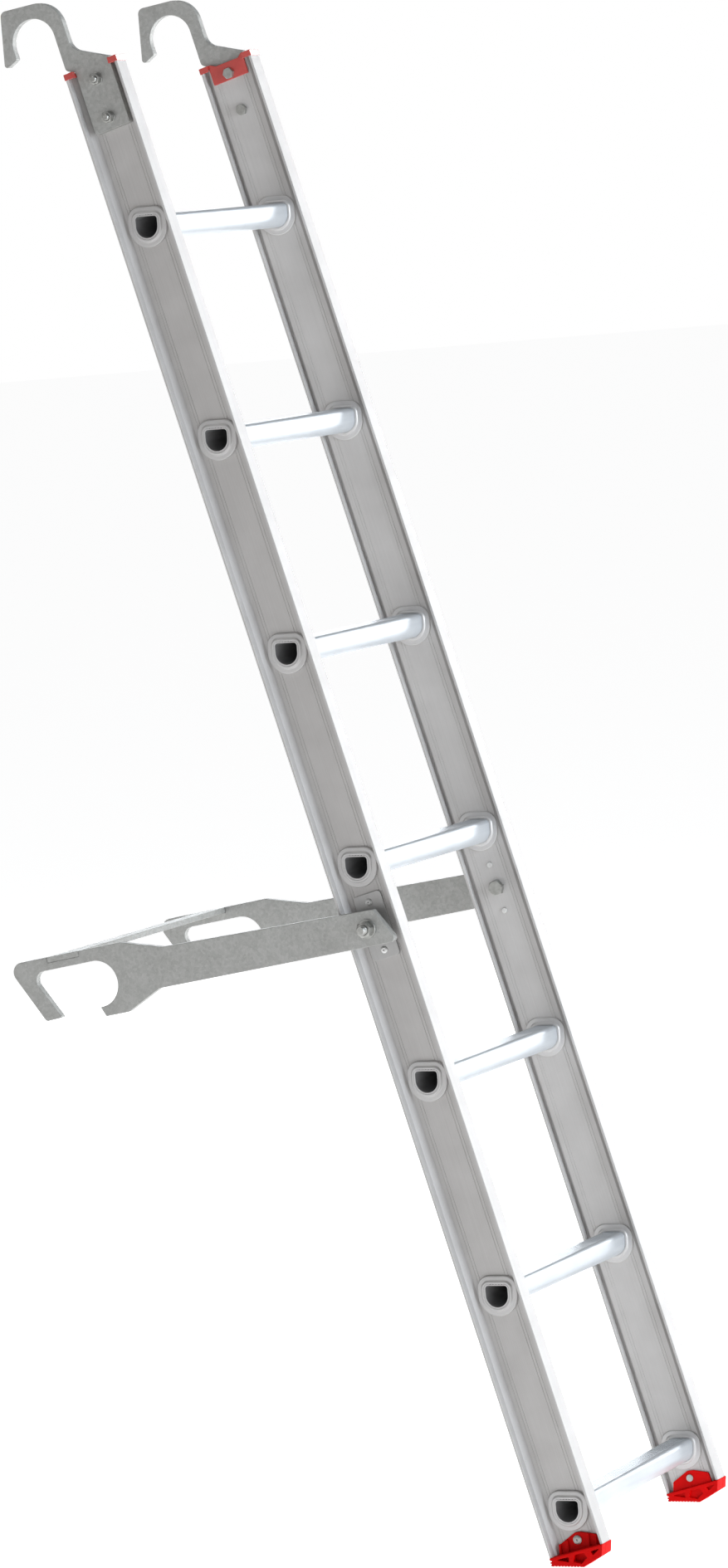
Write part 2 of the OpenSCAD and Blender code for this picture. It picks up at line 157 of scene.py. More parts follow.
# ---------- outlines ----------
def arc(centre, radius, start, end, n):
    turns = [math.radians(start + (end - start) * i / n) for i in range(n + 1)]
    return [(centre[0] + radius * math.cos(t), centre[1] + radius * math.sin(t)) for t in turns]


def corner(a, b, c, radius):
    """Points of the rounded corner at b, between a and c."""
    if radius <= 0:
        return [b]
    a, b, c = Vector(a), Vector(b), Vector(c)
    p, q = (a - b).normalized(), (c - b).normalized()
    half = p.angle(q) / 2
    o = b + (p + q).normalized() * radius / math.sin(half)
    s, e = b + p * radius / math.tan(half) - o, b + q * radius / math.tan(half) - o
    start = math.atan2(s.y, s.x)
    turn = (math.atan2(e.y, e.x) - start + math.pi) % (2 * math.pi) - math.pi
    n = max(3, math.ceil(abs(turn) / math.radians(7)))
    return [
        (o.x + radius * math.cos(start + turn * i / n), o.y + radius * math.sin(start + turn * i / n))
        for i in range(n + 1)
    ]


def rounded(points):
    """A closed outline from (x, y) or (x, y, corner radius) points."""
    out, n = [], len(points)
    for i, p in enumerate(points):
        a, c = points[i - 1][:2], points[(i + 1) % n][:2]
        out += corner(a, p[:2], c, p[2] if len(p) > 2 else 0)
    return out


def d_outline(grow, grooved=False):
    """The rung's D, grown by grow, counterclockwise in (back, up)."""
    top, c = RUNG_H / 2, RUNG_R - RUNG_RC
    tread = []
    if grooved:
        for k in range(TREAD_GROOVES):
            y = ((TREAD_GROOVES - 1) / 2 - k) * TREAD_PITCH
            h, l = TREAD_W / 2, TREAD_W / 2 - 0.15
            tread += [(y + h, top), (y + l, top - TREAD_DP), (y - l, top - TREAD_DP), (y - h, top)]
    return (
        arc((c, top - RUNG_RC), RUNG_RC + grow, 0, 90, 9)
        + tread
        + arc((-c, top - RUNG_RC), RUNG_RC + grow, 90, 180, 9)
        + arc((0, RUNG_MID), RUNG_R + grow, 180, 360, 40)
    )


# ---------- meshes ----------
def area(loop):
    return sum(
        loop[i - 1][0] * loop[i][1] - loop[i][0] * loop[i - 1][1] for i in range(len(loop))
    ) / 2


def shrunk(loop, amount):
    """The loop moved into the material on its left by amount."""
    out, n = [], len(loop)
    for i in range(n):
        a, b, c = Vector(loop[i - 1]), Vector(loop[i]), Vector(loop[(i + 1) % n])
        e, f = (b - a).normalized(), (c - b).normalized()
        na, nb = Vector((e.y, -e.x)), Vector((f.y, -f.x))
        m = (na + nb) / max(0.25, 1 + na.dot(nb))
        out.append((b.x - m.x * amount, b.y - m.y * amount))
    return out


def prism(loops, a0, a1, edge=0.5, steps=2, floors=()):
    """A solid between a0 and a1 with rounded rims. The first loop is the outside, the others are holes;
    floors gives, for some holes by index, how deep they go from a1 (a number) or from a0 (negative)."""
    floors = dict(floors)
    verts, faces, low_cap, high_cap = [], [], [], []
    for index, loop in enumerate(loops):
        if (area(loop) > 0) != (index == 0):
            loop = loop[::-1]
        n = len(loop)
        rows = []
        turns = [math.pi / 2 * (1 - k / steps) for k in range(steps + 1)]
        deep = floors.get(index)
        low = [(edge * (1 - math.cos(t)), a0 + edge * (1 - math.sin(t))) for t in turns]
        high = [(edge * (1 - math.cos(t)), a1 - edge * (1 - math.sin(t))) for t in reversed(turns)]
        if deep is not None and deep > 0:
            low = [(0, a1 - deep)]
        if deep is not None and deep < 0:
            high = [(0, a0 - deep)]
        for offset, a in low + high:
            start = len(verts)
            points = shrunk(loop, offset) if offset else loop
            verts += [(p, q, a) for p, q in points]
            rows.append((start, points))
        for (r, _), (s, _) in zip(rows, rows[1:]):
            faces += [[r + i, r + (i + 1) % n, s + (i + 1) % n, s + i] for i in range(n)]
        if deep is not None:
            blind = rows[0][0] if deep > 0 else rows[-1][0]
            ring = list(range(blind, blind + n))
            faces.append(ring[::-1] if deep < 0 else ring)
        if deep is None or deep < 0:
            low_cap.append(rows[0])
        if deep is None or deep > 0:
            high_cap.append(rows[-1])
    for rows, flip in ((low_cap, True), (high_cap, False)):
        lookup = [(start + i, p) for start, points in rows for i, p in enumerate(points)]
        for tri in tessellate_polygon([[Vector((*p, 0)) for p in points] for _, points in rows]):
            size = area([lookup[i][1] for i in tri])
            if abs(size) > 1e-7:
                tri = [lookup[i][0] for i in tri]
                faces.append(tri[::-1] if (size < 0) != flip else tri)
    return verts, faces


def skin(rings, closed=False):
    """Joins equal rings of points, from one to the next; closed joins the last to the first."""
    n = len(rings[0])
    verts = [p for ring in rings for p in ring]
    pairs = [(k, k + 1) for k in range(len(rings) - 1)] + ([(len(rings) - 1, 0)] if closed else [])
    faces = [
        [r * n + i, r * n + (i + 1) % n, s * n + (i + 1) % n, s * n + i]
        for r, s in pairs
        for i in range(n)
    ]
    if not closed:
        faces += [list(range(n))[::-1], list(range((len(rings) - 1) * n, len(rings) * n))]
    return verts, faces


def along_x(part):
    """From (p, q, a) to (a, p, q): an outline in (back, up), extruded across."""
    return [(a, p, q) for p, q, a in part[0]], part[1]


def moved(part, x=0.0, d=0.0, u=0.0):
    return [(v[0] + x, v[1] + d, v[2] + u) for v in part[0]], part[1]


def circle(radius, n=48):
    turns = [2 * math.pi * i / n for i in range(n)]
    return [(radius * math.cos(t), radius * math.sin(t)) for t in turns]


def lathe(profile, n=48, closed=False):
    """profile: (radius, x) points, turned about the x axis."""
    return skin([[(x, p, q) for p, q in circle(r, n)] for r, x in profile], closed)


def wrap(outline, profile):
    """profile: closed (grow, x) points, carried round outline(grow)."""
    return skin([[(x, p, q) for p, q in outline(e)] for e, x in profile], True)


def volume(verts, faces):
    total = 0.0
    for f in faces:
        a = verts[f[0]]
        for i in range(1, len(f) - 1):
            total += a.dot(verts[f[i]].cross(verts[f[i + 1]]))
    return total


def piece(name, body, material, parts, node, place=LADDER, side=1, sharp=32):
    """One visible piece that stands for a CAD node; side -1 mirrors right-hand parts to the left."""
    verts, faces = [], []
    flip = Matrix.Diagonal((side, 1, 1, 1))
    for part in parts:
        own = place
        if len(part) == 3:
            part, own = part[:2], part[2]
        points = [own @ (flip @ Vector(v)) for v in part[0]]
        centre = sum(points, Vector()) / len(points)
        outward = volume([p - centre for p in points], part[1]) > 0
        base = len(verts)
        verts += points
        faces += [[base + i for i in (f if outward else f[::-1])] for f in part[1]]
    mesh = bpy.data.meshes.new(name)
    mesh.from_pydata(verts, [], faces)
    mesh.validate()
    mesh.polygons.foreach_set("use_smooth", [True] * len(mesh.polygons))
    mesh.set_sharp_from_angle(angle=math.radians(sharp))
    obj = bpy.data.objects.new(name, mesh)
    bpy.context.scene.collection.objects.link(obj)
    mesh.materials.append(material)
    normals = obj.modifiers.new("Normals", "WEIGHTED_NORMAL")
    normals.keep_sharp = True
    normals.weight = 90
    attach(obj, body)
    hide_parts(node)
    return obj


def cut(obj, parts):
    """Takes closed parts, given in the shared frame's metres, out of obj."""
    verts, faces = [], []
    for points, own in parts:
        base = len(verts)
        verts += points
        faces += [[base + i for i in f] for f in own]
    mesh = bpy.data.meshes.new("cutter")
    mesh.from_pydata(verts, [], faces)
    cutter = bpy.data.objects.new("cutter", mesh)
    bpy.context.scene.collection.objects.link(cutter)
    mod = obj.modifiers.new("Cut", "BOOLEAN")
    mod.operation, mod.solver, mod.object = "DIFFERENCE", "EXACT", cutter
    obj.modifiers.move(len(obj.modifiers) - 1, 0)
    obj.modifiers["Normals"].show_viewport = False
    bpy.context.view_layer.update()
    graph = bpy.context.evaluated_depsgraph_get()
    result = bpy.data.meshes.new_from_object(obj.evaluated_get(graph))
    obj.modifiers.remove(obj.modifiers["Cut"])
    obj.modifiers["Normals"].show_viewport = True
    obj.data = result
    result.polygons.foreach_set("use_smooth", [True] * len(result.polygons))
    result.set_sharp_from_angle(angle=math.radians(32))
    bpy.data.objects.remove(cutter)


# ---------- materials; texture sizes are in metres ----------
class Graph:
    """A short way to build one node material."""

    def __init__(self, name):
        self.material = bpy.data.materials.new(name)
        self.material.use_nodes = True
        self.tree = self.material.node_tree
        self.tree.nodes.clear()
        self.shader = self.add("ShaderNodeBsdfPrincipled")
        out = self.add("ShaderNodeOutputMaterial")
        self.link(self.shader.outputs[0], out.inputs["Surface"])
        self.coords = self.add("ShaderNodeTexCoord").outputs["Object"]

    def add(self, kind, **values):
        node = self.tree.nodes.new(kind)
        for key, value in values.items():
            if key in node.inputs:
                node.inputs[key].default_value = value
            else:
                setattr(node, key, value)
        return node

    def link(self, a, b):
        self.tree.links.new(a, b)

    def frame(self, scale, turn=0.0):
        """Coordinates turned about X into the ladder's lean, in units of scale metres."""
        node = self.add("ShaderNodeMapping", vector_type="TEXTURE")
        node.inputs["Rotation"].default_value = (turn, 0, 0)
        node.inputs["Scale"].default_value = scale
        self.link(self.coords, node.inputs["Vector"])
        return node.outputs[0]

    def noise(self, vector, scale=1.0, detail=2.0, roughness=0.5):
        node = self.add("ShaderNodeTexNoise", Scale=scale, Detail=detail, Roughness=roughness)
        self.link(vector, node.inputs["Vector"])
        return node.outputs["Fac"]

    def cells(self, vector, scale=1.0):
        node = self.add("ShaderNodeTexVoronoi", Scale=scale)
        self.link(vector, node.inputs["Vector"])
        split = self.add("ShaderNodeSeparateColor")
        self.link(node.outputs["Color"], split.inputs[0])
        return split.outputs[0]

    def span(self, value, low, high, start=0.3, end=0.7):
        """value, from start to end, becomes low to high."""
        node = self.add("ShaderNodeMapRange")
        for key, number in zip(("From Min", "From Max", "To Min", "To Max"), (start, end, low, high)):
            node.inputs[key].default_value = number
        self.link(value, node.inputs["Value"])
        return node.outputs[0]

    def times(self, a, b):
        node = self.add("ShaderNodeMath", operation="MULTIPLY")
        self.link(a, node.inputs[0])
        self.link(b, node.inputs[1])
        return node.outputs[0]

    def plus(self, a, b):
        node = self.add("ShaderNodeMath", operation="ADD")
        self.link(a, node.inputs[0])
        self.link(b, node.inputs[1])
        return node.outputs[0]

    def blend(self, fac, one, two):
        node = self.add("ShaderNodeMix", data_type="RGBA")
        self.link(fac, node.inputs[0])
        node.inputs[6].default_value = (*one, 1)
        node.inputs[7].default_value = (*two, 1)
        return node.outputs[2]

    def color(self, value):
        self.link(value, self.shader.inputs["Base Color"])

    def rough(self, value):
        self.link(value, self.shader.inputs["Roughness"])

    def bump(self, height, distance, strength=1.0):
        node = self.add("ShaderNodeBump", Strength=strength, Distance=distance)
        self.link(height, node.inputs["Height"])
        self.link(node.outputs[0], self.shader.inputs["Normal"])

    def set(self, **values):
        for key, value in values.items():
            self.shader.inputs[key.replace("_", " ")].default_value = value


def extruded(name, dark, light, streak, turn, rough, metal=0.5):
    """Extruded aluminium: fine die lines along one axis, faint handling marks and a soft cloud."""
    g = Graph(name)
    fine = g.noise(g.frame(streak, turn), detail=3, roughness=0.65)
    wide = g.noise(g.frame(tuple(4 * s for s in streak), turn), detail=2)
    cloud = g.noise(g.frame((0.05, 0.05, 0.05)), detail=3)
    marks = g.noise(g.frame((0.006, 0.006, 0.006)), detail=4, roughness=0.7)
    tone = g.plus(g.span(fine, 0, 0.35), g.plus(g.span(wide, 0, 0.15), g.span(cloud, 0, 0.5)))
    g.color(g.blend(tone, dark, light))
    g.rough(g.plus(g.span(fine, rough - 0.05, rough + 0.05), g.span(marks, 0, 0.08, 0.5, 0.75)))
    g.bump(fine, 0.00006, 0.6)
    g.set(Metallic=metal)
    return g.material


def galvanised(name, dark, light, rough=0.5):
    """Hot-dip zinc on laser-cut plate: crystal patches, fine grit and dull blooms."""
    g = Graph(name)
    spangle = g.cells(g.frame((0.009, 0.009, 0.009)))
    small = g.cells(g.frame((0.0036, 0.0036, 0.0036)))
    grit = g.noise(g.frame((0.0019, 0.0019, 0.0019)), detail=3, roughness=0.75)
    bloom = g.noise(g.frame((0.03, 0.03, 0.03)), detail=4, roughness=0.6)
    tone = g.plus(
        g.plus(g.span(spangle, 0, 0.16, 0, 1), g.span(small, 0, 0.32, 0, 1)),
        g.plus(g.span(grit, 0, 0.34), g.span(bloom, 0, 0.18)),
    )
    g.color(g.blend(tone, dark, light))
    g.rough(g.plus(g.span(spangle, rough - 0.08, rough + 0.04, 0, 1), g.span(grit, 0, 0.1)))
    g.bump(g.plus(g.span(grit, 0, 1, 0, 1), g.span(bloom, 0, 1.5, 0, 1)), 0.00012, 0.5)
    g.set(Metallic=0.5)
    return g.material


def zinc(name, dark, light):
    """Bright zinc plating with a faint haze and turning marks."""
    g = Graph(name)
    haze = g.noise(g.frame((0.004, 0.004, 0.004)), detail=4, roughness=0.6)
    turning = g.noise(g.frame((0.0005, 0.004, 0.004)), detail=2)
    g.color(g.blend(g.span(haze, 0, 1), dark, light))
    g.rough(g.plus(g.span(haze, 0.34, 0.46), g.span(turning, 0, 0.08)))
    g.bump(turning, 0.00003, 0.5)
    g.set(Metallic=0.95)
    return g.material


def moulded(name, dark, light, rough, gloss, coat=0.0):
    """Moulded plastic: spark-eroded grain, flow clouding and a few rubbed spots."""
    g = Graph(name)
    grain = g.noise(g.frame((0.0007, 0.0007, 0.0007)), detail=2)
    flow = g.noise(g.frame((0.02, 0.02, 0.02)), detail=3)
    rubbed = g.noise(g.frame((0.004, 0.012, 0.004)), detail=4, roughness=0.7)
    g.color(g.blend(g.plus(g.span(flow, 0, 0.7), g.span(rubbed, 0, 0.3, 0.5, 0.8)), dark, light))
    g.rough(g.plus(g.span(rubbed, rough, rough + 0.1), g.span(grain, 0, 0.06)))
    g.bump(grain, 0.00005, 0.4)
    g.set(Metallic=0.0, Specular_IOR_Level=gloss, Coat_Weight=coat, Coat_Roughness=0.08)
    return g.material


ALONG_STILE = (0.0007, 0.0007, 0.3)
ALONG_RUNG = (0.3, 0.0007, 0.0007)
ALONG_PLATE = (0.001, 0.001, 0.05)
ALL_WAYS = (0.003, 0.003, 0.003)
STILE_METAL = extruded(
    "stile_metal", (0.49, 0.475, 0.465), (0.60, 0.585, 0.575), ALONG_STILE, -LEAN, 0.42, 0.22)
RUNG_METAL = extruded(
    "rung_metal", (0.54, 0.57, 0.60), (0.66, 0.69, 0.72), ALONG_RUNG, 0.0, 0.40)
COLLAR_METAL = extruded(
    "collar_metal", (0.54, 0.53, 0.525), (0.63, 0.62, 0.615), ALL_WAYS, 0.0, 0.45)
# painted shade: the inside of the rung tubes gets the same aluminium made darker and duller than the
# outside
BORE_PAINTED_SHADE = extruded(
    "rung_bore_metal", (0.28, 0.28, 0.285), (0.38, 0.38, 0.385), ALONG_RUNG, 0.0, 0.6, 0.2)
PLATE_METAL = extruded(
    "pivot_plate_metal", (0.46, 0.455, 0.45), (0.55, 0.545, 0.54), ALONG_PLATE, -LEAN, 0.45)
GALVANISED = galvanised("galvanised_steel", (0.31, 0.31, 0.295), (0.53, 0.53, 0.515))
ZINC = zinc("zinc_plate", (0.36, 0.36, 0.34), (0.50, 0.50, 0.48))
RIVET_METAL = zinc("rivet_metal", (0.62, 0.62, 0.61), (0.78, 0.78, 0.77))
CAP_RED = moulded("cap_plastic", (0.50, 0.045, 0.036), (0.60, 0.062, 0.050), 0.14, 0.8, 1.0)
FOOT_RED = moulded("foot_plastic", (0.58, 0.0, 0.0), (0.70, 0.0, 0.0), 0.5, 0.10)

SIDES = (("left", -1), ("right", 1))


# ---------- stiles ----------
def stile_outline():
    lip = 0.5
    half = [
        (WEB_OUT, HALF_D, lip),
        (WEB_OUT, HALF_D - FLANGE_T, lip),
        (BEVEL_OUT, HALF_D - FLANGE_T, 1.0),
        (0, CHANNEL, 1.0),
    ]
    for g in reversed(GROOVES):
        half += [(0, g + GROOVE_W / 2), (-GROOVE_DP, g + GROOVE_W / 4)]
        half += [(-GROOVE_DP, g - GROOVE_W / 4), (0, g - GROOVE_W / 2)]
    tip = INNER_TIP - WEB_X
    back = []
    for g in GROOVES:
        back += [(-WEB_T, g - GROOVE_W / 2), (GROOVE_DP - WEB_T, g - GROOVE_W / 4)]
        back += [(GROOVE_DP - WEB_T, g + GROOVE_W / 4), (-WEB_T, g + GROOVE_W / 2)]
    back += [
        (-WEB_T, CHANNEL + WALL_BACK - WEB_T, 0.6),
        (BEVEL_OUT - WALL_BACK, HALF_D - FLANGE_T, 0.8),
        (tip, HALF_D - FLANGE_T, lip),
        (tip, HALF_D, lip),
    ]
    flip = lambda points: [(p[0], -p[1], *p[2:]) for p in reversed(points)]
    return rounded(half + flip(half) + flip(back) + back)


section = [(WEB_X + x, d) for x, d in stile_outline()]
for hand, side in SIDES:
    stile = piece(
        hand + "_stile_profile", "ladder", STILE_METAL,
        [prism([section], 0, STILE_L, 0.25, 1)], hand + "_stile", side=side, sharp=28,
    )
    bores = []
    for i in range(RUNGS):
        loop = d_outline(SEAT)
        points, faces = skin([[(x, p, q) for p, q in loop] for x in (INNER_X - 1.5, WEB_X + 1.5)])
        bores.append(([at_rung(i) @ Vector((side * v[0], v[1], v[2])) for v in points],
                      faces if side > 0 else [f[::-1] for f in faces]))
    cut(stile, bores)

# ---------- rungs and collars ----------
def inside_tube(p):
    """Whether a point, in a rung's own frame, lies on the wall of its bore."""
    y, z, c, top = abs(p.y), p.z, RUNG_R - RUNG_RC, RUNG_H / 2
    depth = RUNG_R - math.hypot(y, z - RUNG_MID) if z < RUNG_MID else min(RUNG_R - y, top - z)
    if y > c and z > top - RUNG_RC:
        depth = RUNG_RC - math.hypot(y - c, z - top + RUNG_RC)
    return depth > RUNG_WALL * 0.8


for i in range(RUNGS):
    tube = along_x(prism([d_outline(0, True), d_outline(-RUNG_WALL)], -RUNG_END, RUNG_END, 0.3))
    rung = piece("rung_tube_%d" % (i + 1), "ladder", RUNG_METAL, [tube],
                 "rung_%d" % (i + 1), place=at_rung(i), sharp=25)
    # the second material, on the bore's wall, is painted shade for the inside of the tube; the third
    # colours the tube's ends like the collars
    rung.data.materials.append(BORE_PAINTED_SHADE)
    rung.data.materials.append(COLLAR_METAL)
    inverse = at_rung(i).inverted()
    for face in rung.data.polygons:
        if inside_tube(inverse @ face.center):
            face.material_index = 1
        if abs(face.normal.x) > 0.3:
            face.material_index = 2

OUTER_COLLAR = [
    (COLLAR_OVER - 0.3, SEAT), (COLLAR_OVER, 0.4), (COLLAR_OVER, 2.6), (COLLAR_OVER - 0.25, 3.3),
    (COLLAR_OVER - 0.8, 3.8), (COLLAR_OVER - 1.6, 4.0), (RIM_OVER + 1.5, 4.0), (RIM_OVER + 0.6, 4.25),
    (RIM_OVER + 0.1, 4.8), (RIM_OVER - 0.2, 5.4), (RIM_OVER - 0.7, 5.8), (RIM_OVER - 1.4, 6.0),
    (0.7, 6.0), (0.25, 5.85), (SEAT, 5.5), (SEAT, SEAT),
]
INNER_COLLAR = [
    (COLLAR_OVER - 0.3, SEAT), (COLLAR_OVER, 0.3), (COLLAR_OVER, 1.0), (COLLAR_OVER - 0.25, 1.6),
    (COLLAR_OVER - 0.8, 1.9), (COLLAR_OVER - 1.5, 2.0), (RIM_OVER + 1.4, 2.0), (RIM_OVER + 0.5, 2.25),
    (RIM_OVER, 2.8), (RIM_OVER - 0.3, 3.4), (RIM_OVER - 0.8, 3.8), (RIM_OVER - 1.5, 4.0),
    (0.6, 4.0), (0.2, 3.85), (SEAT, 3.5), (SEAT, SEAT),
]
for hand, side in SIDES:
    for kind, profile, at in (
        ("outer", OUTER_COLLAR, lambda h: WEB_X + h),
        ("inner", INNER_COLLAR, lambda h: INNER_X - h),
    ):
        rings = wrap(d_outline, [(e, at(h)) for e, h in profile])
        piece("%s_%s_collar_rings" % (hand, kind), "ladder", COLLAR_METAL,
              [(*rings, at_rung(i)) for i in range(RUNGS)], "%s_%s_collars" % (hand, kind), side=side,
              sharp=40)


# ---------- top hooks ----------
def hook_outline():
    leg = HOOK_C[0] + HOOK_R
    near = HOOK_C[0] - HOOK_R
    neck = near - HOOK_NECK
    throat = arc(HOOK_C, HOOK_R, 180, 0, 48)
    return rounded([
        (-HOOK_HALF, HOOK_LOW, 3), (HOOK_HALF, HOOK_LOW, 3), (HOOK_HALF, 3.2, 1), (near, 9.4, 6),
        *throat, (leg, HOOK_C[1] - 11.5, 3), (leg + 21.1, HOOK_C[1] - 19.3, 4),
        (leg + 2.1, HOOK_C[1] + HOOK_R + 22, 8), (neck, HOOK_C[1] + HOOK_R + 12.2, 36),
        (neck, HOOK_C[1] - 24.7, 18), (-HOOK_HALF, 7.8, 1),
    ])


for hand, side in SIDES:
    plate = along_x(prism([hook_outline()], HOOK_X[0], HOOK_X[1], 0.7, 3))
    piece(hand + "_hook_plate", "ladder", GALVANISED, [plate],
          hand + "_top_hook", place=TOP, side=side)


# ---------- fasteners ----------
HEX_RING = 72
SHANK_BITE = 1.0


def hex_ring(across, x):
    """A ring round a hexagon's outline, at x, or at x(r) where its radius is r."""
    out = []
    for i in range(HEX_RING):
        t = 2 * math.pi * i / HEX_RING
        r = across / 2 / math.cos(t % (math.pi / 3) - math.pi / 6)
        out.append((x(r) if callable(x) else x, r * math.cos(t), r * math.sin(t)))
    return out


def hexagon(across, base, end, bore=None):
    """A bolt's head or, with a bore, a nut, with the corners turned down at the outer end."""
    s = 1 if end > base else -1
    face = across / 2 * 0.95
    down = lambda r: end - s * (r - face) * 0.5
    up = lambda r: base + s * (r - face) * 0.5
    flat = lambda r, x: [(x, p, q) for p, q in circle(r, HEX_RING)]
    rings = [hex_ring(across, up if bore else base), hex_ring(across, down), flat(face, end)]
    if not bore:
        return skin(rings)
    sink, mouth = s * 0.6, bore + 0.7
    rings += [flat(mouth, end), flat(bore, end - sink), flat(bore, base + sink)]
    rings += [flat(mouth, base), flat(face, base)]
    return skin(rings, True)


def threaded(radius, start, thread, end, pitch, chamfer=1.0, n=32):
    """A shank from start to end, with a screw thread from thread on."""
    deep, per_turn = 0.55 * pitch, 8
    rings = [[(x, p, q) for p, q in circle(radius, n)] for x in (start, thread)]
    rows = int((end - thread) / pitch * per_turn)
    for k in range(rows + 1):
        x = thread + (end - thread) * k / rows
        limit = radius - max(0.0, x - (end - chamfer))
        ring = []
        for i in range(n):
            phase = (x / pitch + i / n) % 1
            r = min(limit, radius - deep * max(0.0, 0.75 - abs(2 * phase - 1) * 1.2))
            t = 2 * math.pi * i / n
            ring.append((x, r * math.cos(t), r * math.sin(t)))
        rings.append(ring)
    return skin(rings)


def washer(bore, radius, x0, x1):
    e = 0.3
    return lathe([(bore, x0 + e), (bore, x1 - e), (bore + e, x1), (radius - e, x1), (radius, x1 - e),
                  (radius, x0 + e), (radius - e, x0), (bore + e, x0)], 56, True)


CAP_T = 3.0
heads = [INNER_X - CAP_T - SEAT, INNER_X - SEAT]
bolts, washers, nuts = [], [], []
for side in (-1, 1):
    own = TOP @ Matrix.Diagonal((side, 1, 1, 1))
    for u, head in zip(HOOK_BOLTS, heads):
        face = HOOK_X[1] + M8[5]
        tip = face + M8[3] + M8[6]
        bolts += [(*moved(hexagon(M8[1], head, head - M8[2]), u=u), own),
                  (*moved(threaded(M8[0], head - SHANK_BITE, face + 2, tip, M8[7]), u=u), own)]
        washers.append((*moved(washer(M8[0] + 0.25, M8[4], HOOK_X[1] + SEAT, face), u=u), own))
        nuts.append((*moved(hexagon(M8[1], face + SEAT, face + M8[3], M8[0] + SEAT), u=u), own))
piece("hook_bolt_set", "ladder", ZINC, bolts, "hook_bolts")
piece("hook_washer_set", "ladder", ZINC, washers, "hook_washers")
piece("hook_nut_set", "ladder", ZINC, nuts, "hook_nuts")


# ---------- top caps ----------
def slab(x0, x1, d0, d1, u0, u1, edge=0.6):
    return along_x(prism([rounded([(d0, u0, 0.6), (d1, u0, 0.6), (d1, u1, 0.6), (d0, u1, 0.6)])],
                         x0, x1, edge))


CAP_RISE, CAP_LIP, CAP_OVER, CAP_DROP = 5.0, 3.0, 1.0, 22.5
SHOULDER_U, CAP_GAP = 3.2, 0.5
EDGE = CHANNEL - 1.5
cap_face = rounded([
    (-EDGE, -CAP_DROP, 2), (EDGE, -CAP_DROP, 2), (EDGE, CAP_RISE, 1), (EDGE * 0.9, CAP_RISE, 1.5),
    (EDGE * 0.6, 0.8, 3), (-EDGE * 0.7, 0.8, 3), (-EDGE * 0.9, CAP_RISE, 1.5), (-EDGE, CAP_RISE, 1),
])
X_IN, X_OUT = INNER_TIP - CAP_OVER, HALF_W + CAP_OVER
REACH = HALF_D + CAP_OVER
for hand, side in SIDES:
    low, high = SEAT, CAP_RISE
    under = SHOULDER_U - CAP_GAP
    start = HOOK_HALF + CAP_GAP
    parts = [
        along_x(prism([cap_face], INNER_X - CAP_T, INNER_X - SEAT, 0.5)),
        # lids over the flange ends; the back one passes under the hook's shoulder
        slab(X_IN, X_OUT, -REACH, -start, low, high),
        slab(X_IN, WEB_X - CAP_GAP, start, REACH, low, high),
        slab(HOOK_X[1] + CAP_GAP, X_OUT, start, REACH, low, high),
        slab(WEB_X - CAP_GAP - 2, HOOK_X[1] + CAP_GAP + 2, start, REACH, low, under),
    ]
    # lips round each flange's outer tip, its face and its inner tip
    for s in (-1, 1):
        d0, d1 = sorted((s * start, s * REACH))
        parts.append(slab(HALF_W + SEAT, X_OUT, d0, d1, -CAP_LIP, low + 1))
        parts.append(slab(X_IN, INNER_TIP - SEAT, d0, d1, -CAP_LIP, low + 1))
        f0, f1 = sorted((s * (HALF_D + SEAT), s * REACH))
        parts.append(slab(X_IN, X_OUT, f0, f1, -CAP_LIP, low + 1, 0.4))
        # the web that fills the corner between the flange and its bevel
        wedge = [(start, low + 1), (start, -CAP_LIP), (HALF_D - FLANGE_T - SEAT, -CAP_LIP),
                 (HALF_D - FLANGE_T - SEAT, low + 1)]
        wedge = [(s * p, q) for p, q in wedge]
        parts.append(along_x(prism([rounded([(*p, 0.4) for p in wedge])],
                                   WEB_X + BEVEL_OUT, HALF_W + 0.5, 0.4)))
    piece(hand + "_cap_moulding", "ladder", CAP_RED, parts, hand + "_top_cap",
          place=TOP, side=side)


# ---------- feet ----------
def sole_point(y, z):
    """From along and square to the flat sole, at its thin end, to (back, up)."""
    c, s = math.cos(LEAN), math.sin(LEAN)
    return SOLE_END + y * c - z * s, -FOOT_DROP + y * s + z * c


def foot_outline():
    tan = math.tan(LEAN)
    out = [(-HALF_D, -SEAT, 0.4), (-HALF_D, -1.5, 0.6),
           (SOLE_FAR, PEAK_U + (SOLE_PEAK - SOLE_FAR) * tan, 1), (SOLE_PEAK, PEAK_U, 0.6)]
    for k in range(TEETH, 0, -1):
        for y, z in ((-1.03, 0), (-0.7, TOOTH_DP), (0.7, TOOTH_DP), (1.03, 0)):
            out.append((*sole_point(-k * TOOTH + y, z), 0.15))
    out.append((SOLE_END, -FOOT_DROP, 0.2))
    for z in (2.6, 6.0):
        tip, face = -0.2 - z * tan, z * tan
        open_half = 1.2 * (face - tip) / (2 - tip)
        for y, h in ((face, -open_half), (tip, 0), (face, open_half)):
            out.append((*sole_point(y, z + h), 0.1))
    out.append((SOLE_END, -SEAT, 0.4))
    return rounded(out)


POCKETS = [
    rounded([(HALF_D - 9, -4, 0.5), (11.3, -4.2, 0.8), (13, PEAK_U * 0.5, 0.8)]),
    rounded([(2.5, -3.8, 0.8), (-10.5, -4.2, 0.8), (-13, -11.2, 0.8), (-3, PEAK_U + 4.8, 1),
             (7.5, -11.6, 0.8)]),
    rounded([(-19.6, -4.8, 0.6), (4.8 - HALF_D, -4.2, 0.4), (-21.7, -9.8, 0.8)]),
]
EAR = rounded([(CHANNEL + 1.9, -1), (CHANNEL - 3, 12, 2.5), (1, 21.2, 4), (-7, 20.2, 4),
               (0.6 - CHANNEL, 12, 3), (0.2 - CHANNEL, -1)])
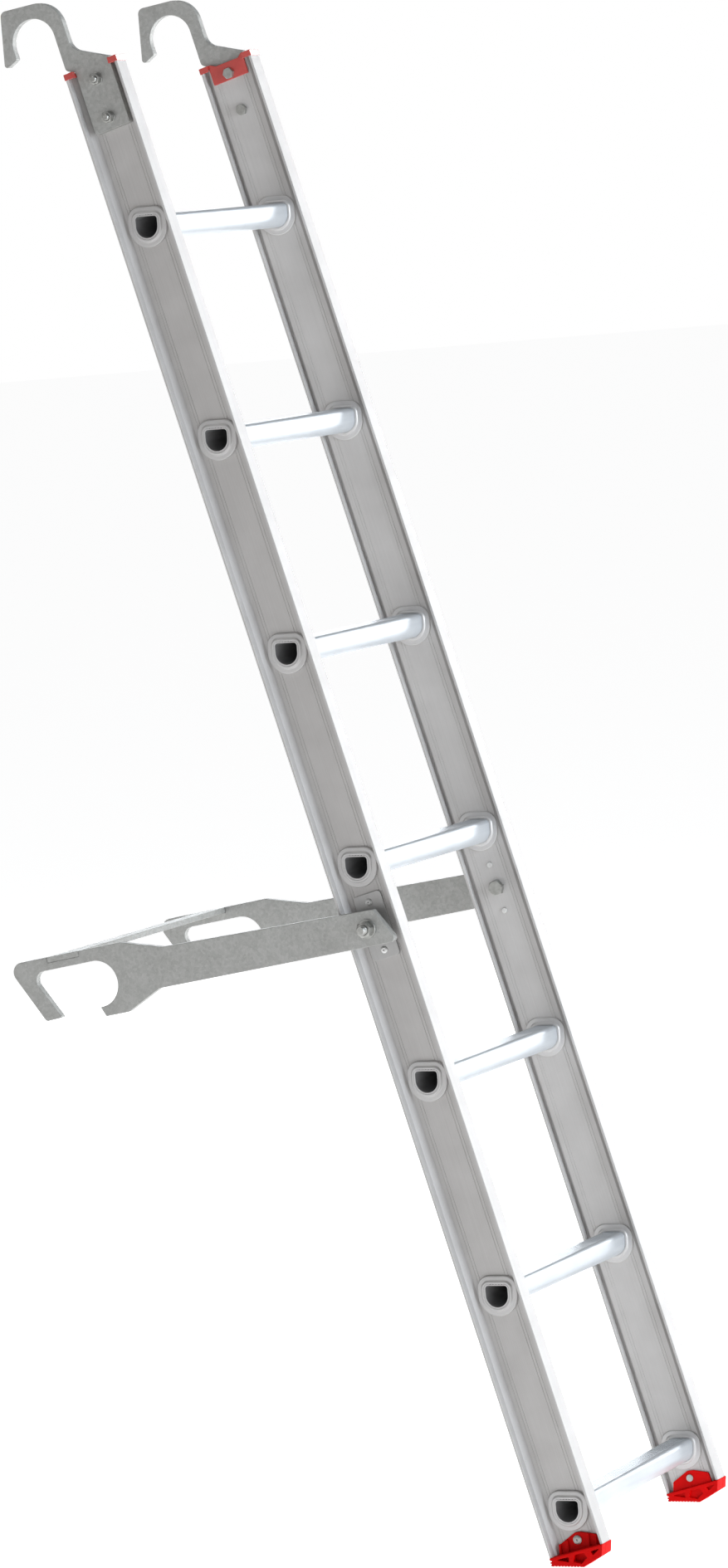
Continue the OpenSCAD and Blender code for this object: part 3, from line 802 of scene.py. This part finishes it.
# each rib's place, width and top
EAR_RIBS = (
    (CHANNEL - 1.2, 2.6, 12.4), (16.6, 4.6, 14.2), (-13.5, 4.2, 16.6), (2.6 - CHANNEL, 2.0, 12.0),
)
POCKET, INNER_POCKET = 10.0, 3.0


def rib(place, width, top):
    """An upright rib on the outer ear, up to the ear's edge."""
    c, s = math.cos(LEAN), math.sin(LEAN)
    along = lambda w, t: (place + w * c - t * s, 5 + w * s + t * c)
    h = width / 2
    low = -6.2 / c
    high = (top - 5) / c
    slope = 0.35 if place > 0 else -0.3
    return rounded([(*along(-h, low), 0.3), (*along(h, low), 0.3), (*along(h, high - slope * h), 0.8),
                    (*along(-h, high + slope * h), 0.8)])


for hand, side in SIDES:
    base = [foot_outline(), *POCKETS]
    mid = FOOT_X[1] - POCKET - 2
    outer = {k: POCKET for k in range(1, len(base))}
    inner = {k: -INNER_POCKET for k in range(1, len(base))}
    parts = [
        along_x(prism(base, mid, FOOT_X[1], 0.6, 2, outer)),
        along_x(prism(base, FOOT_X[0], mid, 0.6, 2, inner)),
        along_x(prism([EAR], WEB_X + SEAT, WEB_X + EAR_T, 0.5)),
        along_x(prism([EAR], INNER_X - EAR_T, INNER_X - SEAT, 0.5)),
    ]
    parts += [along_x(prism([rib(*r)], WEB_X + 1, WEB_X + EAR_T + EAR_RIB_T, 0.5)) for r in EAR_RIBS]
    piece(hand + "_foot_moulding", "ladder", FOOT_RED, parts, hand + "_foot", side=side)


# ---------- rivets ----------
def rivet(radius, x0, x1, u):
    """A blind rivet: a set end inside at x0, and a domed head outside at x1 with its mandrel's hole."""
    head, tail = radius * 1.95, radius * 1.6
    hole = radius * 0.42
    outside = lathe([
        (head - 0.2, x1 + SEAT), (head, x1 + 0.3), (head - 0.15, x1 + 0.75), (head * 0.8, x1 + 1.15),
        (head * 0.55, x1 + 1.5), (hole + 0.35, x1 + 1.6), (hole, x1 + 1.45), (hole, x1 - 0.8),
    ], 40)
    inside = lathe([
        (tail - 0.3, x0 - SEAT), (tail, x0 - 0.35), (tail, x0 - 0.8), (tail - 0.25, x0 - 1.3),
        (tail - 0.9, x0 - 1.6),
    ], 40)
    return [moved(outside, u=u), moved(inside, u=u)]


SETS = (
    ("foot_rivet_set", "foot_rivets", ZINC, [(3.0, INNER_X - EAR_T, WEB_X + EAR_T, FOOT_RIVET_U)]),
    ("plate_rivet_set", "pivot_plate_rivets", RIVET_METAL,
     [(2.4, INNER_X, WEB_X + PLATE[2], PIVOT_U + s * RIVET_U) for s in (-1, 1)]),
)
for name, node, metal, rows in SETS:
    parts = []
    for side in (-1, 1):
        own = LADDER @ Matrix.Diagonal((side, 1, 1, 1))
        for row in rows:
            parts += [(*part, own) for part in rivet(*row)]
    piece(name, "ladder", metal, parts, node)

# ---------- pivots ----------
for hand, side in SIDES:
    w, h = PLATE[0] / 2, PLATE[1] / 2
    face = rounded([(-w, -h, 5), (w, -h, 5), (w, h, 5), (-w, h, 5)])
    plate = moved(along_x(prism([face], WEB_X + SEAT, WEB_X + PLATE[2], 0.4)), u=PIVOT_U)
    piece(hand + "_backing_plate", "ladder", PLATE_METAL, [plate],
          hand + "_pivot_plate", side=side)

SWING = 0.3
SPACER_R = 9.0
washer_x = ARM_X[1] + SWING
nut_x = washer_x + M12[5]
tip_x = nut_x + M12[3] + M12[6]
bolts, spacers, washers, nuts = [], [], [], []
for side in (-1, 1):
    own = LADDER @ Matrix.Translation((0, 0, PIVOT_U)) @ Matrix.Diagonal((side, 1, 1, 1))
    head = INNER_X - SEAT
    bolts += [(*hexagon(M12[1], head, head - M12[2]), own),
              (*threaded(M12[0], head - SHANK_BITE, nut_x + 2, tip_x, M12[7], 1.2), own)]
    spacers.append((*washer(M12[0] + SEAT, SPACER_R, WEB_X + PLATE[2] + SEAT, ARM_X[0] - SWING), own))
    washers.append((*washer(M12[0] + 0.25, M12[4], washer_x, nut_x), own))
    nuts.append((*hexagon(M12[1], nut_x + SEAT, nut_x + M12[3], M12[0] + SEAT), own))
piece("pivot_bolt_set", "ladder", ZINC, bolts, "pivot_bolts")
piece("pivot_spacer_set", "ladder", ZINC, spacers, "pivot_spacers")
piece("pivot_washer_set", "ladder", ZINC, washers, "pivot_washers")
piece("pivot_nut_set", "ladder", ZINC, nuts, "pivot_nuts")


# ---------- stand-off arms ----------
def arm_outline():
    leg = ARM_REACH + 3.1 * ARM_R
    notch = [(BAR_X0 + BAR_W + SEAT, ARM_BACK), (BAR_X0 + BAR_W + SEAT, ARM_BACK - BAR_T - SEAT),
             (BAR_X0 - SEAT, ARM_BACK - BAR_T - SEAT), (BAR_X0 - SEAT, ARM_BACK)]
    throat = arc((ARM_REACH, 0), ARM_R, 270, 90, 48)
    return rounded([
        (-37.5, 0.3 - ARM_ROOT, 6), (-15, -ARM_ROOT, 20), (ARM_REACH - 86, 1.5 - ARM_ROOT, 6),
        (ARM_REACH - 36, -ARM_R - 13, 8), (ARM_REACH - 2.7, -ARM_R - 13, 2.5),
        (ARM_REACH + 2.6, -ARM_R, 1.2), *throat, (leg + 0.6, ARM_R, 12),
        (leg - 31.9, -ARM_R - 3.4, 1.5), (leg - 8, -ARM_R - 4.3, 5), (leg + 31.2, ARM_BACK, 13),
        *[(*p, 0.2) for p in notch],
        (ARM_REACH - 44, ARM_BACK, 8), (ARM_REACH - 102, ARM_ROOT + 7, 14), (-12.5, ARM_ROOT - 0.3, 3),
    ])


for hand, side in SIDES:
    plate = along_x(prism([arm_outline(), circle(M12[0] + SEAT)], ARM_X[0], ARM_X[1], 0.7, 3))
    piece(hand + "_arm_plate", "arms", GALVANISED, [plate], hand + "_arm",
          place=ARM, side=side)
bar = along_x(prism([rounded([(BAR_X0, ARM_BACK - BAR_T, 0.8), (BAR_X0 + BAR_W, ARM_BACK - BAR_T, 0.8),
                              (BAR_X0 + BAR_W, ARM_BACK, 0.8), (BAR_X0, ARM_BACK, 0.8)])],
                    -ARM_X[1], ARM_X[1], 0.2, 1))
piece("cross_bar_plate", "arms", GALVANISED, [bar], "arm_cross_bar", place=ARM)

# ---------- floor, light and camera ----------
UNDER_SOLES = 0.0002
FLOOR_Z = min(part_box("left_foot")[0].z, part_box("right_foot")[0].z) - UNDER_SOLES
FLOOR_R = 60.0


def floor_material():
    g = Graph("pale_floor")
    g.color(g.blend(g.noise(g.frame((0.4, 0.4, 0.4)), detail=3), (0.80, 0.80, 0.80), (0.83, 0.83, 0.83)))
    g.set(Roughness=0.9, Specular_IOR_Level=0.1, Emission_Strength=0.89)
    g.shader.inputs["Emission Color"].default_value = (1, 1, 1, 1)
    return g.material


mesh = bpy.data.meshes.new("floor")
ring = [(p, q, FLOOR_Z) for p, q in circle(FLOOR_R, 96)]
mesh.from_pydata(ring, [], [list(range(len(ring)))])
mesh.materials.append(floor_material())
floor = bpy.data.objects.new("floor", mesh)
bpy.context.scene.collection.objects.link(floor)

scene = bpy.context.scene
scene.view_settings.view_transform = "Standard"
world = bpy.data.worlds.new("studio")
scene.world = world
world.use_nodes = True
tree = world.node_tree
tree.nodes.clear()
ROOM_STRENGTH = 0.10
SWEEP_STRENGTH = 1.0
output = tree.nodes.new("ShaderNodeOutputWorld")
mix = tree.nodes.new("ShaderNodeMixShader")
path = tree.nodes.new("ShaderNodeLightPath")
room = tree.nodes.new("ShaderNodeBackground")
room.inputs["Color"].default_value = (0.98, 0.985, 1.0, 1)
room.inputs["Strength"].default_value = ROOM_STRENGTH
sweep = tree.nodes.new("ShaderNodeBackground")
sweep.inputs["Color"].default_value = (1, 1, 1, 1)
sweep.inputs["Strength"].default_value = SWEEP_STRENGTH
tree.links.new(path.outputs["Is Camera Ray"], mix.inputs[0])
tree.links.new(room.outputs[0], mix.inputs[1])
tree.links.new(sweep.outputs[0], mix.inputs[2])
tree.links.new(mix.outputs[0], output.inputs[0])

MIDDLE = (CAD_BOX[0] + CAD_BOX[1]) / 2


def softbox(name, azimuth, elevation, distance, width, height, radiance, color):
    """A soft light aimed at the ladder's middle. Azimuth 0 is on the climber's side, 90 at +X."""
    a, e = math.radians(azimuth), math.radians(elevation)
    way = Vector((math.sin(a) * math.cos(e), -math.cos(a) * math.cos(e), math.sin(e)))
    data = bpy.data.lights.new(name, "AREA")
    data.shape = "RECTANGLE"
    data.size, data.size_y = width, height
    data.energy = radiance * math.pi * width * height
    data.color = color
    lamp = bpy.data.objects.new(name, data)
    lamp.location = MIDDLE + way * distance
    lamp.rotation_euler = way.to_track_quat("Z", "Y").to_euler()
    lamp.visible_camera = False
    scene.collection.objects.link(lamp)


softbox("climber_side_light", 25, 12, 5.0, 2.0, 3.5, 2.2, (0.97, 0.985, 1.0))
softbox("edge_light", 65, 8, 5.0, 1.0, 3.6, 6.6, (0.97, 0.985, 1.0))
softbox("channel_light", -12, 8, 6.0, 1.2, 4.5, 17.0, (0.86, 0.93, 1.0))
softbox("side_light", -116, 6, 6.0, 5.0, 5.0, 0.17, (1.0, 0.98, 0.96))
softbox("tread_light", 118, 14, 6.0, 4.0, 3.0, 4.2, (0.93, 0.97, 1.0))
softbox("top_light", -150, 65, 5.0, 3.0, 3.0, 1.5, (1.0, 1.0, 1.0))

# the camera stands on the climber's left, 8.5 m from the ladder's middle and 0.7 m above it
CAMERA_AT = (-7.58791, -3.91687, -0.20928)
CAMERA_TURN = (84.8447, 4.6167, -64.8079)
camera = bpy.data.cameras.new("camera")
camera.lens = 152.4616
camera.sensor_width = 36.0
camera.clip_start, camera.clip_end = 0.1, 200.0
eye = bpy.data.objects.new("camera", camera)
eye.location = CAMERA_AT
eye.rotation_euler = Euler([math.radians(a) for a in CAMERA_TURN], "XYZ")
scene.collection.objects.link(eye)
scene.camera = eye
